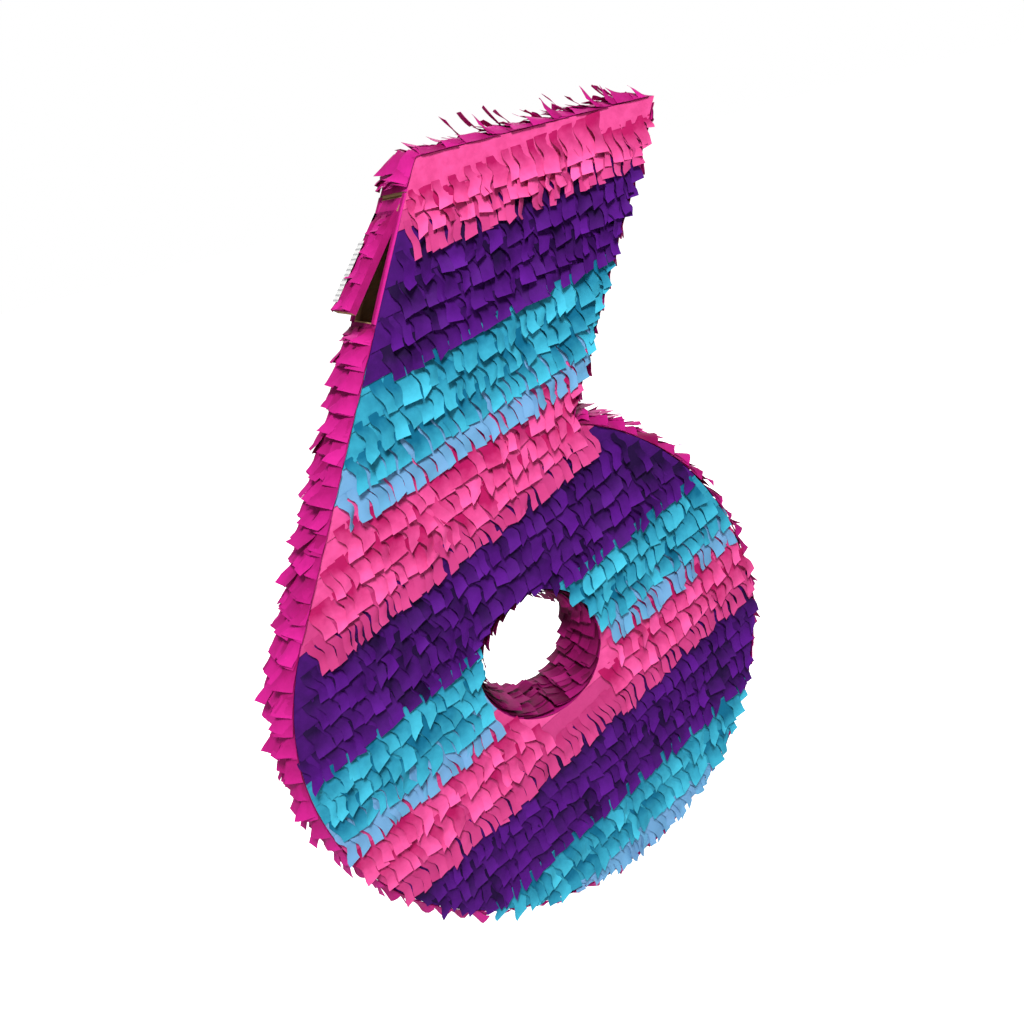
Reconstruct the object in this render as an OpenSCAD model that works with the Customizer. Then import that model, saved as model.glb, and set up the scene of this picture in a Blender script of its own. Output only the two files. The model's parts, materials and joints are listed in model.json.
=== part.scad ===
// Hanging party figure in the shape of the digit 6: a hollow corrugated-board shell
// between two flat panels, covered with rows of cut tissue fringe, with a filling door.
// X is to the right, Y to the back and Z up. Sizes are in millimetres.

/* [Figure] */
// Outer diameter of the round bowl
bowl_d = 368; // [300:1:450]
// Height of the board figure, from the foot of the bowl to the flat top
figure_h = 548; // [450:1:660]
// Width of the stem, square to its sides
stem_w = 150; // [120:1:185]
// Lean of the stem from the vertical, in degrees
stem_lean = 31; // [25:1:36]
// Diameter of the round hole through the bowl
hole_d = 99; // [80:1:120]
// Height of the hole's centre above the bowl's centre
hole_rise = 18; // [0:1:30]
// Depth over the outer faces of the two panels
shell_depth = 50; // [42:1:90]
// Thickness of the corrugated board
board_t = 3; // [2:0.5:4]

/* [Filling door] */
// Length of the door down the left wall
door_l = 78; // [60:1:100]
// Wall left standing between each long side of the door and the panel
door_margin = 2; // [1.5:0.5:5]
// Distance of the door's hinge below the top corner of the stem
door_drop = 24; // [20:1:50]
// Angle by which the door stands ajar, in degrees
door_ajar = 11; // [0:1:15]
// Clearance round the door
door_gap = 0.5; // [0.3:0.1:1]

/* [Hanging] */
// Diameter of the two punched cord holes in the top wall
hang_hole_d = 8; // [5:0.5:12]
// Distance between the cord holes
hang_spacing = 60; // [40:1:75]
// Length of the board patch that stiffens the top wall
patch_l = 96; // [90:1:116]
// Width of the board patch
patch_w = 34; // [26:1:40]
// Thickness of the board patch
patch_t = 3; // [2:0.5:5]

/* [Fringe] */
// Thickness of the fringe on the two faces
face_fringe_t = 4.5; // [3:0.5:8]
// Thickness of the fringe on the outer walls
wall_fringe_t = 8; // [5:0.5:12]
// Thickness of the fringe on the door
door_fringe_t = 5; // [3:0.5:10]
// Thickness of the fringe that lines the hole
hole_fringe_t = 8; // [4:0.5:12]
// Bare strip between the door's hinge and its fringe, which lets the door open flat out
hinge_bare = 11; // [9.5:0.5:20]

/* [Tape and label] */
// Thickness of the paper tape
tape_t = 0.5; // [0.3:0.1:1]
// Width of each leg of a folded strip of tape
tape_leg = 12; // [8:1:14]
// Length of the blank paper label on the door
label_l = 42; // [30:1:50]
// Width of the label
label_w = 10; // [6:1:17]
// Thickness of the label
label_t = 0.4; // [0.2:0.1:1]
// From the door's back edge to the label
label_inset = 7; // [0:0.5:15]
// From the door's foot up to the label
label_rise = 5; // [0:0.5:7]

/* [Hidden] */
$fn = 96;

FRONT = -1;
BACK = 1;
board = "#b98d5a";
kraft_tape = "#d2ae78";
pink = "#f0479b";
purple = "#4a0f8f";
turquoise = "#2fbdd6";
magenta = "#c81888";
white = "#f4f4f0";

// Each colour band's share of the figure's height down the bowl's axis, from the top
band_parts = [55, 60, 68, 60, 69, 65, 57, 64, 50];
// Slope of the line under each band, in degrees: the bands fan out down the stem
band_slopes = [5, 10, 12, 17, 16, 16, 18, 17];

bowl_r = bowl_d / 2;
hole_r = hole_d / 2;
bowl_z = wall_fringe_t + bowl_r;            // the bowl's centre, with the lowest fringe at z = 0
hole_z = bowl_z + hole_rise;
top_z = wall_fringe_t + figure_h;           // outer face of the top wall
panel_y = shell_depth / 2;                  // outer face of a panel, each side of y = 0
inner_y = panel_y - board_t;                // inner face of a panel
lean_run = sin(stem_lean);
lean_rise = cos(stem_lean);
tangent = [-bowl_r * lean_rise, bowl_z + bowl_r * lean_run];  // where the left side leaves the bowl
reach = 2 * figure_h;                       // longer than anything in the figure
overlap = 1;                                // how far a cut runs past what it cuts

// Points in the XZ plane. s runs up the stem from the tangent point, n runs into the figure.
function left_at(s, n) =
  [tangent.x + lean_run * s + lean_rise * n, tangent.y + lean_rise * s - lean_run * n];
function right_at(s, n) = left_at(s, stem_w - n);
// The s at which the line that lies n inside the left or right side reaches height z
function left_s(z, n) = (z - tangent.y + lean_run * n) / lean_rise;
function right_s(z, n) = left_s(z, stem_w - n);
// The s at which the line n inside the right side meets a circle of radius r about the bowl
function right_on_bowl_s(r, n) =
  let (from_centre = stem_w - n - bowl_r) sqrt(r * r - from_centre * from_centre);
function angle_of(p) = atan2(p.y - bowl_z, p.x);
function on_bowl(r, a) = [r * cos(a), bowl_z + r * sin(a)];
function sum_to(list, count, i = 0) = i == count ? 0 : list[i] + sum_to(list, count, i + 1);

top_left = left_at(left_s(top_z, 0), 0);
top_right = right_at(right_s(top_z, 0), 0);
top_mid_x = (top_left.x + top_right.x) / 2;
tangent_a = angle_of(tangent);
notch_a = angle_of(right_at(right_on_bowl_s(bowl_r, board_t), board_t));
bottom_a = -90;

hinge_s = left_s(top_z, 0) - door_drop;
hinge = left_at(hinge_s, board_t / 2);
door_w = 2 * (inner_y - door_margin);       // width of the doorway
door_foot_s = hinge_s - door_l;             // lower end of the doorway

// Draws a shape of the XZ plane as a solid from y0 to y1
module slab(y0, y1) {
  translate([0, y1, 0]) rotate([90, 0, 0]) linear_extrude(y1 - y0) children();
}

// A slab that lies between two distances out from the middle, on the front or the back
module face_slab(side, near, far) {
  if (side == FRONT) slab(-far, -near) children();
  else slab(near, far) children();
}

// Strips of the left and right sides, from s0 to s1 and from n0 to n1 into the figure
module left_strip(s0, s1, n0, n1) {
  polygon([left_at(s0, n0), left_at(s1, n0), left_at(s1, n1), left_at(s0, n1)]);
}

module right_strip(s0, s1, n0, n1) {
  polygon([right_at(s0, n0), right_at(s1, n0), right_at(s1, n1), right_at(s0, n1)]);
}

// Strips of the stem's sides that stop level at height z
module left_strip_to(s0, z, n0, n1) {
  polygon([left_at(s0, n0), left_at(left_s(z, n0), n0), left_at(left_s(z, n1), n1), left_at(s0, n1)]);
}

module right_strip_to(s0, z, n0, n1) {
  polygon([right_at(s0, n0), right_at(right_s(z, n0), n0),
           right_at(right_s(z, n1), n1), right_at(s0, n1)]);
}

module bowl_disc(r) {
  translate([0, bowl_z]) circle(r);
}

module hole_disc(r) {
  translate([0, hole_z]) circle(r);
}

// Wedge about the bowl's centre from angle a0 up to a1, in steps of under a quarter turn
module bowl_wedge(a0, a1) {
  steps = ceil((a1 - a0) / 60);
  polygon([[0, bowl_z], for (i = [0 : steps]) on_bowl(reach, a0 + (a1 - a0) * i / steps)]);
}

// Part of a ring about the bowl's centre
module bowl_arc(r0, r1, a0, a1) {
  intersection() {
    difference() {
      bowl_disc(r1);
      bowl_disc(r0);
    }
    bowl_wedge(a0, a1);
  }
}

// The stem's outline, closed off inside the bowl
module stem_outline() {
  polygon([tangent, top_left, top_right, right_at(0, 0), [0, bowl_z]]);
}

// The whole figure as a flat sheet on the front or the back, between two distances out
module figure_sheet(side, near, far) {
  difference() {
    union() {
      face_slab(side, near, far) bowl_disc(bowl_r);
      face_slab(side, near, far) stem_outline();
    }
    face_slab(side, near - overlap, far + overlap) hole_disc(hole_r);
  }
}

// ---- board shell ----

module front_panel() {
  color(board) figure_sheet(FRONT, inner_y, panel_y);
}

module back_panel() {
  color(board) figure_sheet(BACK, inner_y, panel_y);
}

module stem_left_wall() {
  color(board) difference() {
    slab(-inner_y, inner_y) left_strip_to(0, top_z - board_t, 0, board_t);
    slab(-door_w / 2, door_w / 2)
      left_strip(door_foot_s, hinge_s + board_t / 2 + door_gap, -overlap, board_t + overlap);
  }
}

module top_wall() {
  color(board) difference() {
    slab(-inner_y, inner_y)
      polygon([top_left, top_right,
               right_at(right_s(top_z - board_t, 0), 0), left_at(left_s(top_z - board_t, 0), 0)]);
    hang_holes(hang_hole_d / 2);
  }
}

module stem_right_wall() {
  color(board) slab(-inner_y, inner_y) difference() {
    right_strip_to(0, top_z - board_t, 0, board_t);
    bowl_disc(bowl_r);
  }
}

module bowl_right_wall() {
  color(board) slab(-inner_y, inner_y) bowl_arc(bowl_r - board_t, bowl_r, bottom_a, notch_a);
}

module bowl_left_wall() {
  color(board) slab(-inner_y, inner_y)
    bowl_arc(bowl_r - board_t, bowl_r, tangent_a - 360, bottom_a);
}

module hole_wall() {
  color(board) slab(-inner_y, inner_y) difference() {
    hole_disc(hole_r + board_t);
    hole_disc(hole_r);
  }
}

// The two cord holes, from under the patch to above the fringe
module hang_holes(r) {
  for (dx = [-1, 1])
    translate([top_mid_x + dx * hang_spacing / 2, 0, top_z - board_t - patch_t - overlap])
      cylinder(r = r, h = board_t + patch_t + wall_fringe_t + 2 * overlap);
}

module hanger_patch() {
  patch_z = top_z - board_t - patch_t;
  color(board) difference() {
    translate([top_mid_x - patch_l / 2, -patch_w / 2, patch_z]) cube([patch_l, patch_w, patch_t]);
    hang_holes(hang_hole_d / 2);
  }
}

// ---- filling door ----

// Turns what is drawn shut about the hinge, to where the door stands ajar
module ajar() {
  translate([hinge.x, 0, hinge.y]) rotate([0, door_ajar, 0]) translate([-hinge.x, 0, -hinge.y])
    children();
}

module door_flap() {
  half_w = door_w / 2 - door_gap;
  color(board) ajar() union() {
    slab(-half_w, half_w) left_strip(door_foot_s + door_gap, hinge_s, 0, board_t);
    slab(-half_w, half_w) translate(hinge) circle(board_t / 2);
  }
}

module door_fringe() {
  half_w = door_w / 2 - door_gap;
  color(magenta) ajar() slab(-half_w, half_w)
    left_strip(door_foot_s + door_gap, hinge_s - hinge_bare, -door_fringe_t, 0);
}

module paper_label() {
  back_y = door_w / 2 - door_gap - label_inset;
  foot_s = door_foot_s + label_rise;
  color(white) ajar() slab(back_y - label_w, back_y)
    left_strip(foot_s, foot_s + label_l, -door_fringe_t - label_t, -door_fringe_t);
}

// ---- colour bands on the two faces ----

// Height on the bowl's axis, and slope, of the line above band i
function line_z(i) = top_z - figure_h * sum_to(band_parts, i) / sum_to(band_parts, len(band_parts));
function line_end(i, x) =
  i == 0 ? [x, top_z + overlap] :
  i == len(band_parts) ? [x, -reach] : [x, line_z(i) + x * tan(band_slopes[i - 1])];

module face_band(side, i, hue) {
  span = 1.2 * bowl_r;
  color(hue) intersection() {
    figure_sheet(side, panel_y, panel_y + face_fringe_t);
    face_slab(side, panel_y - overlap, panel_y + face_fringe_t + overlap)
      polygon([line_end(i, -span), line_end(i, span),
               line_end(i + 1, span), line_end(i + 1, -span)]);
  }
}

// The part of a band that lies left or right of the hole, which cuts the band in two
module half_band(side, i, hue, hand) {
  color(hue) intersection() {
    face_band(side, i, hue);
    translate([hand < 0 ? -reach : 0, -shell_depth, 0]) cube([reach, 2 * shell_depth, reach]);
  }
}

// ---- fringe on the outer walls and in the hole ----

module top_left_fringe() {
  color(magenta) difference() {
    translate([top_left.x, -panel_y, top_z]) cube([top_mid_x - top_left.x, shell_depth, wall_fringe_t]);
    hang_holes(hang_hole_d);
  }
}

module top_right_fringe() {
  color(magenta) difference() {
    translate([top_mid_x, -panel_y, top_z]) cube([top_right.x - top_mid_x, shell_depth, wall_fringe_t]);
    hang_holes(hang_hole_d);
  }
}

module stem_left_upper_fringe() {
  color(magenta) slab(-panel_y, panel_y)
    left_strip(hinge_s + board_t / 2 + 2 * door_gap, left_s(top_z, 0), -wall_fringe_t, 0);
}

module stem_left_lower_fringe() {
  color(magenta) slab(-panel_y, panel_y)
    left_strip(0, door_foot_s - 2 * door_gap, -wall_fringe_t, 0);
}

module stem_right_fringe() {
  color(magenta) slab(-panel_y, panel_y) difference() {
    right_strip(0, right_s(top_z, 0), -wall_fringe_t, 0);
    bowl_disc(bowl_r + wall_fringe_t);
  }
}

module bowl_left_fringe() {
  color(magenta) slab(-panel_y, panel_y)
    bowl_arc(bowl_r, bowl_r + wall_fringe_t, tangent_a - 360, bottom_a);
}

module bowl_right_fringe() {
  color(magenta) slab(-panel_y, panel_y) difference() {
    bowl_arc(bowl_r, bowl_r + wall_fringe_t, bottom_a, notch_a + wall_fringe_t);
    stem_outline();
  }
}

module hole_fringe() {
  color(magenta) slab(-panel_y, panel_y) difference() {
    hole_disc(hole_r);
    hole_disc(hole_r - hole_fringe_t);
  }
}

// ---- paper tape inside the seams ----

// A folded strip: child 0 is the leg on the wall, child 1 the leg on the panel
module folded_tape(side, wall_leg = tape_leg) {
  color(kraft_tape) union() {
    face_slab(side, inner_y - wall_leg, inner_y) children(0);
    face_slab(side, inner_y - tape_t, inner_y) children(1);
  }
}

module stem_left_tape(side) {
  tape_top_s = door_foot_s - 2 * door_gap;
  folded_tape(side) {
    left_strip(0, tape_top_s, board_t, board_t + tape_t);
    left_strip(0, tape_top_s, board_t, board_t + tape_leg);
  }
}

module above_door_tape(side) {
  tape_foot_s = hinge_s + board_t / 2 + 4 * door_gap;
  folded_tape(side) {
    left_strip_to(tape_foot_s, top_z - board_t, board_t, board_t + tape_t);
    left_strip_to(tape_foot_s, top_z - board_t, board_t, board_t + tape_leg);
  }
}

// Strip under the top wall, clear of the tape on the stem's two sides
module top_tape_strip(drop) {
  inset = board_t + tape_leg;
  z1 = top_z - board_t;
  polygon([left_at(left_s(z1, inset), inset), right_at(right_s(z1, inset), inset),
           right_at(right_s(z1 - drop, inset), inset), left_at(left_s(z1 - drop, inset), inset)]);
}

module top_tape(side) {
  beside_patch = inner_y - patch_w / 2 - overlap;
  folded_tape(side, min(tape_leg, beside_patch)) {
    top_tape_strip(tape_t);
    top_tape_strip(tape_leg);
  }
}

module right_tape_strip(n1) {
  difference() {
    right_strip_to(0, top_z - board_t, board_t, board_t + n1);
    bowl_disc(bowl_r);
  }
}

module stem_right_tape(side) {
  folded_tape(side) {
    right_tape_strip(tape_t);
    right_tape_strip(tape_leg);
  }
}

module bowl_tape(side) {
  wall_r = bowl_r - board_t;
  folded_tape(side) {
    bowl_arc(wall_r - tape_t, wall_r, tangent_a - 360, notch_a);
    bowl_arc(wall_r - tape_leg, wall_r, tangent_a - 360, notch_a);
  }
}

module hole_tape_ring(width) {
  difference() {
    hole_disc(hole_r + board_t + width);
    hole_disc(hole_r + board_t);
  }
}

module hole_tape(side) {
  folded_tape(side) {
    hole_tape_ring(tape_t);
    hole_tape_ring(tape_leg);
  }
}

// Tape across the butt joints of the walls, between the two seam tapes
module joint_tape() {
  half_w = inner_y - tape_leg - overlap;
  color(kraft_tape) slab(-half_w, half_w) children();
}

module top_left_corner_tape() {
  z1 = top_z - board_t;
  far_s = left_s(z1, board_t) - tape_leg;
  corner = left_at(left_s(z1, board_t), board_t);
  inside = left_at(left_s(z1 - tape_t, board_t + tape_t), board_t + tape_t);
  joint_tape() polygon([
    corner, corner + [tape_leg, 0], [corner.x + tape_leg, z1 - tape_t], inside,
    left_at(far_s, board_t + tape_t), left_at(far_s, board_t)]);
}

module top_right_corner_tape() {
  z1 = top_z - board_t;
  far_s = right_s(z1, board_t) - tape_leg;
  corner = right_at(right_s(z1, board_t), board_t);
  inside = right_at(right_s(z1 - tape_t, board_t + tape_t), board_t + tape_t);
  joint_tape() polygon([
    corner, right_at(far_s, board_t), right_at(far_s, board_t + tape_t), inside,
    [corner.x - tape_leg, z1 - tape_t], corner - [tape_leg, 0]]);
}

module stem_splice_tape() {
  wall_r = bowl_r - board_t;
  leg_a = tape_leg / wall_r * 180 / PI;
  joint_tape() bowl_arc(wall_r - tape_t, wall_r, tangent_a, tangent_a + leg_a);
  joint_tape() left_strip(0, tape_leg, board_t, board_t + tape_t);
}

module bottom_splice_tape() {
  wall_r = bowl_r - board_t;
  leg_a = tape_leg / wall_r * 180 / PI;
  joint_tape() bowl_arc(wall_r - tape_t, wall_r, bottom_a - leg_a, bottom_a + leg_a);
}

front_panel();
back_panel();
stem_left_wall();
top_wall();
stem_right_wall();
bowl_right_wall();
bowl_left_wall();
hole_wall();
hanger_patch();
door_flap();
face_band(FRONT, 0, pink);  // front_pink_top
face_band(FRONT, 1, purple);  // front_purple_top
face_band(FRONT, 2, turquoise);  // front_turquoise_top
face_band(FRONT, 3, pink);  // front_pink_mid
face_band(FRONT, 4, purple);  // front_purple_mid
half_band(FRONT, 5, turquoise, -1);  // front_turquoise_mid_left
half_band(FRONT, 5, turquoise, 1);  // front_turquoise_mid_right
face_band(FRONT, 6, pink);  // front_pink_low
face_band(FRONT, 7, purple);  // front_purple_low
face_band(FRONT, 8, turquoise);  // front_turquoise_low
face_band(BACK, 0, pink);  // back_pink_top
face_band(BACK, 1, purple);  // back_purple_top
face_band(BACK, 2, turquoise);  // back_turquoise_top
face_band(BACK, 3, pink);  // back_pink_mid
face_band(BACK, 4, purple);  // back_purple_mid
half_band(BACK, 5, turquoise, -1);  // back_turquoise_mid_left
half_band(BACK, 5, turquoise, 1);  // back_turquoise_mid_right
face_band(BACK, 6, pink);  // back_pink_low
face_band(BACK, 7, purple);  // back_purple_low
face_band(BACK, 8, turquoise);  // back_turquoise_low
top_left_fringe();
top_right_fringe();
stem_left_upper_fringe();
stem_left_lower_fringe();
stem_right_fringe();
bowl_left_fringe();
bowl_right_fringe();
hole_fringe();
door_fringe();
stem_left_tape(FRONT);  // front_stem_left_tape
above_door_tape(FRONT);  // front_above_door_tape
top_tape(FRONT);  // front_top_tape
stem_right_tape(FRONT);  // front_stem_right_tape
bowl_tape(FRONT);  // front_bowl_tape
hole_tape(FRONT);  // front_hole_tape
stem_left_tape(BACK);  // back_stem_left_tape
above_door_tape(BACK);  // back_above_door_tape
top_tape(BACK);  // back_top_tape
stem_right_tape(BACK);  // back_stem_right_tape
bowl_tape(BACK);  // back_bowl_tape
hole_tape(BACK);  // back_hole_tape
top_left_corner_tape();
top_right_corner_tape();
stem_splice_tape();
bottom_splice_tape();
paper_label();
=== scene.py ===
# %% [markdown]
# # A hanging digit six in cut tissue fringe
# The real object is a hollow board figure, papered all over with rows of cut tissue. The board, the
# seam tape and the filling door are already exact solids in the frame, and each stretch of fringe is
# a plain slab. This script puts real tabs in place of every slab, each one a small curled sheet,
# because light catching separate tabs is what makes a fringe look like paper. A bump on the slabs
# would be quicker, but it would leave their outline smooth.

# %% Load the frame
import json
import math
import random
from collections import namedtuple
import bmesh
import bpy
from mathutils import Matrix, Vector, noise


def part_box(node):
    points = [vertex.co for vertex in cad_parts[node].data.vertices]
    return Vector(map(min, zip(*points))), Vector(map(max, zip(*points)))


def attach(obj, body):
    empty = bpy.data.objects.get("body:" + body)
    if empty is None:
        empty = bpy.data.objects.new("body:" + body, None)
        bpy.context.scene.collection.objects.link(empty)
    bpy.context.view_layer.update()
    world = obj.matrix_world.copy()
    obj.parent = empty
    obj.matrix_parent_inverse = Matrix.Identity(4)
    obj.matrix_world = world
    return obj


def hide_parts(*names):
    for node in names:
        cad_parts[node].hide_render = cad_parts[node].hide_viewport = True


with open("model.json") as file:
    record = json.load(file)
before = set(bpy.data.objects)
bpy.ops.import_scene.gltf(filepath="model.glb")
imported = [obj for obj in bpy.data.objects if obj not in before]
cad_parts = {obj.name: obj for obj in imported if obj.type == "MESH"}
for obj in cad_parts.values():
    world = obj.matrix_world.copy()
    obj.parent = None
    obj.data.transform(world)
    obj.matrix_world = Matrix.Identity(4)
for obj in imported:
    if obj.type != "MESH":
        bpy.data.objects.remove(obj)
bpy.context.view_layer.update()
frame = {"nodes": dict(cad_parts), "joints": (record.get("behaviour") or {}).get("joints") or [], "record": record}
MM = 0.001

# %% [markdown]
# ## Sizes from the frame
# The outline is a round bowl with a straight stem that leaves it at a tangent. Its sizes are read
# from the boxes of the solids, so the paper fits the board without measuring anything twice. Only
# what a box can't tell, the lean of the stem and the door's ajar angle, is written down here.

# %% Outline sizes
STEM_LEAN = math.radians(31)
DOOR_AJAR = math.radians(11)

panel_low, panel_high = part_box("front_panel")
board_t = panel_high.y - panel_low.y
bowl_r = (panel_high.x - panel_low.x) / 2
bowl_z = panel_low.z + bowl_r
top_z = panel_high.z
shell_half = -panel_low.y
hole_low, hole_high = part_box("hole_fringe")
hole_r = (hole_high.x - hole_low.x) / 2
hole_z = (hole_high.z + hole_low.z) / 2
top_left_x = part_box("top_left_fringe")[0].x
top_right_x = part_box("top_right_fringe")[1].x
hinge = Vector(frame["joints"][0]["pos_m"])

up_stem = Vector((math.sin(STEM_LEAN), 0, math.cos(STEM_LEAN)))
into_stem = Vector((math.cos(STEM_LEAN), 0, -math.sin(STEM_LEAN)))
stem_w = (top_right_x - top_left_x) * math.cos(STEM_LEAN)
bowl_centre = Vector((0, 0, bowl_z))
hole_centre = Vector((0, 0, hole_z))
stem_foot = bowl_centre - bowl_r * into_stem
stem_top_left = Vector((top_left_x, 0, top_z))
stem_top_right = Vector((top_right_x, 0, top_z))
print(f"bowl radius {bowl_r:.4f}, stem width {stem_w:.4f}, hole radius {hole_r:.4f}")


# %% Is a point on the face?
def on_face(point, grow=0.0):
    """Is a point of the XZ plane on the figure's face, with the outline grown outwards by grow?"""
    from_foot = point - stem_foot
    across = from_foot.dot(into_stem)
    in_stem = (from_foot.dot(up_stem) > 0 and -grow < across < stem_w + grow
               and point.z < top_z + grow)
    in_bowl = (point - bowl_centre).length < bowl_r + grow
    in_hole = (point - hole_centre).length < hole_r - grow
    return (in_stem or in_bowl) and not in_hole


print("top of the stem on the face:", on_face(stem_top_left + 0.1 * (into_stem - up_stem)))

# %% [markdown]
# ## Tissue paper
# Tissue is thin, matt and a little crumpled. One recipe serves every colour: a base colour that
# each tab shifts a little lighter or darker, partly at random and partly as painted light, a painted
# highlight towards its tip and painted shade at its root, a second colour where only one thin layer
# covers the band below, and a bump of soft creases. A noise could shift the colour too, but it would
# run across the tabs. So the shift travels with the mesh as an attribute, and stays on each tab when
# the door swings.

# %% Material helpers
def new_material(name):
    """A node material with one Principled shader, and the parts needed to add to it."""
    material = bpy.data.materials.new(name)
    material.use_nodes = True
    nodes, links = material.node_tree.nodes, material.node_tree.links
    return material, nodes, links, nodes["Principled BSDF"]


def object_noise(nodes, links, scale, detail, stretch=(1, 1, 1)):
    """A noise texture on Object coordinates, stretched along chosen axes."""
    place = nodes.new("ShaderNodeTexCoord")
    mapping = nodes.new("ShaderNodeMapping")
    mapping.inputs["Scale"].default_value = stretch
    texture = nodes.new("ShaderNodeTexNoise")
    texture.inputs["Scale"].default_value = scale
    texture.inputs["Detail"].default_value = detail
    links.new(place.outputs["Object"], mapping.inputs["Vector"])
    links.new(mapping.outputs["Vector"], texture.inputs["Vector"])
    return texture


def mixed(nodes, links, factor, colour_a, colour_b):
    """A colour that goes from a to b with factor. Each may be a socket or a fixed colour."""
    mix = nodes.new("ShaderNodeMix")
    mix.data_type = "RGBA"
    links.new(factor, mix.inputs["Factor"])
    for socket, colour in ((mix.inputs[6], colour_a), (mix.inputs[7], colour_b)):
        if isinstance(colour, tuple):
            socket.default_value = (*colour, 1)
        else:
            links.new(colour, socket)
    return mix.outputs[2]


def add_bump(nodes, links, height, depth, strength, below=None):
    """A bump from a height socket, laid over the bump below if there is one."""
    bump = nodes.new("ShaderNodeBump")
    bump.inputs["Strength"].default_value = strength
    bump.inputs["Distance"].default_value = depth
    links.new(height, bump.inputs["Height"])
    if below:
        links.new(below.outputs["Normal"], bump.inputs["Normal"])
    return bump


# %% Tissue colour and creases
MOTTLE_SCALE = 140
MOTTLE_SHARE = 0.5
WRINKLE_SCALE = 260
CREASE_SCALE = 95
CREASE_WARP = 6 * MM
# Depth and strength of the two bumps.
CREASE_BUMP = (1.2 * MM, 0.35)
WRINKLE_BUMP = (0.6 * MM, 0.25)


def tissue_colour(nodes, links, dark, light, thin):
    """The colour of a tab: its own tone with painted highlight and shade, a mottle, then a thin layer's tone."""
    # Each tab's tone comes with the mesh: partly random, partly painted highlight and painted shade.
    shade = nodes.new("ShaderNodeAttribute")
    shade.attribute_name = "tab_tone_and_painted_light"
    layer = nodes.new("ShaderNodeAttribute")
    layer.attribute_name = "thin_layer"
    mottle = object_noise(nodes, links, MOTTLE_SCALE, 4)
    tone = nodes.new("ShaderNodeMath")
    tone.operation = "MULTIPLY_ADD"
    links.new(mottle.outputs["Fac"], tone.inputs[0])
    tone.inputs[1].default_value = MOTTLE_SHARE
    links.new(shade.outputs["Fac"], tone.inputs[2])
    body = mixed(nodes, links, tone.outputs[0], dark, light)
    return mixed(nodes, links, layer.outputs["Fac"], body, thin)


def tissue_creases(nodes, links):
    """Sharp creases between flat patches, warped by a noise, with fine wrinkles over them."""
    wrinkles = object_noise(nodes, links, WRINKLE_SCALE, 5)
    warp = nodes.new("ShaderNodeVectorMath")
    warp.operation = "MULTIPLY_ADD"
    warp.inputs[1].default_value = (CREASE_WARP, CREASE_WARP, CREASE_WARP)
    place = nodes.new("ShaderNodeTexCoord")
    links.new(wrinkles.outputs["Color"], warp.inputs[0])
    links.new(place.outputs["Object"], warp.inputs[2])
    creases = nodes.new("ShaderNodeTexVoronoi")
    creases.feature = "DISTANCE_TO_EDGE"
    creases.inputs["Scale"].default_value = CREASE_SCALE
    links.new(warp.outputs["Vector"], creases.inputs["Vector"])
    fold = add_bump(nodes, links, creases.outputs["Distance"], *CREASE_BUMP)
    return add_bump(nodes, links, wrinkles.outputs["Fac"], *WRINKLE_BUMP, fold)


# %% Tissue materials
def tissue(name, dark, light, thin):
    """Crumpled tissue between a dark tone for painted shade and a light tone for painted highlight,
    and a third tone for a single thin layer.
    """
    material, nodes, links, shader = new_material(name)
    links.new(tissue_colour(nodes, links, dark, light, thin), shader.inputs["Base Color"])
    links.new(tissue_creases(nodes, links).outputs["Normal"], shader.inputs["Normal"])
    shader.inputs["Roughness"].default_value = 0.72
    shader.inputs["Specular IOR Level"].default_value = 0.12
    return material


# Each dark tone is the tissue in painted shade and each light tone the tissue in a painted highlight.
PINK = tissue("pink_tissue", dark=(0.38, 0.005, 0.09), light=(1.0, 0.13, 0.43),
              thin=(0.46, 0.035, 0.17))
PURPLE = tissue("purple_tissue", dark=(0.012, 0.0005, 0.035), light=(0.105, 0.006, 0.25),
                thin=(0.05, 0.002, 0.13))
TURQUOISE = tissue("turquoise_tissue", dark=(0.002, 0.12, 0.22), light=(0.06, 0.52, 0.70),
                   thin=(0.15, 0.33, 0.57))
MAGENTA = tissue("magenta_tissue", dark=(0.24, 0.001, 0.075), light=(0.56, 0.012, 0.24),
                 thin=(0.50, 0.01, 0.20))
# The hole's tissue is a darker copy of the magenta: painted shade inside the hole.
HOLE_SHADE_MAGENTA = tissue("hole_magenta_painted_shade", dark=(0.085, 0.0005, 0.028), light=(0.36, 0.006, 0.15),
                thin=(0.3, 0.005, 0.1))
print("tissue materials:", [m.name for m in (PINK, PURPLE, TURQUOISE, MAGENTA, HOLE_SHADE_MAGENTA)])

# %% [markdown]
# ## One tab
# A tab is a narrow sheet cut with scissors: long wavy sides, a square end, a twist along its
# length and an end that lifts. A cloth simulation of thousands of them would take hours. A grid of
# a few faces, bent by a handful of sines, gives the same look and is light enough to repeat.

# %% How tabs bend
TAB_COLUMNS = 3
TAB_ROWS = 8
# Three numbers are a usual amount, a part that neighbours share and a part of the tab's own.
WAVE_START = (0.5, 0.9, 0.3)
BUCKLE_START = (0.0, 2.0, 0.8)
TWIST = (0.27, 0.20, 0.14)
LIFT = (1.2 * MM, 0.9 * MM, 0.8 * MM)
LEAST_LIFT = -0.8 * MM
LIFT_FROM = 0.55
STRAY = (0.0, 0.05, 0.045)
# One number is the whole amount: the wave of the sides, the buckle along the tab, how much it rocks
# from side to side, how its width varies, the cup across it, and the slant of its end.
WAVE = 1.6 * MM
WAVE_SPREAD = (0.7, 1.3)
BUCKLE = 0.8 * MM
BUCKLE_SPREAD = (0.3, 1.4)
ROCK = 0.18
WAIST = 0.08
CUP = 0.35 * MM
SLANT = 0.7 * MM
# Painted light: a tab is lighter at its tip, a painted highlight where it catches the light, and
# darker at its root, a painted shade under the row above.
PAINTED_TIP_LIGHT = 0.75
TIP_MIDDLE = 0.72
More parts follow.
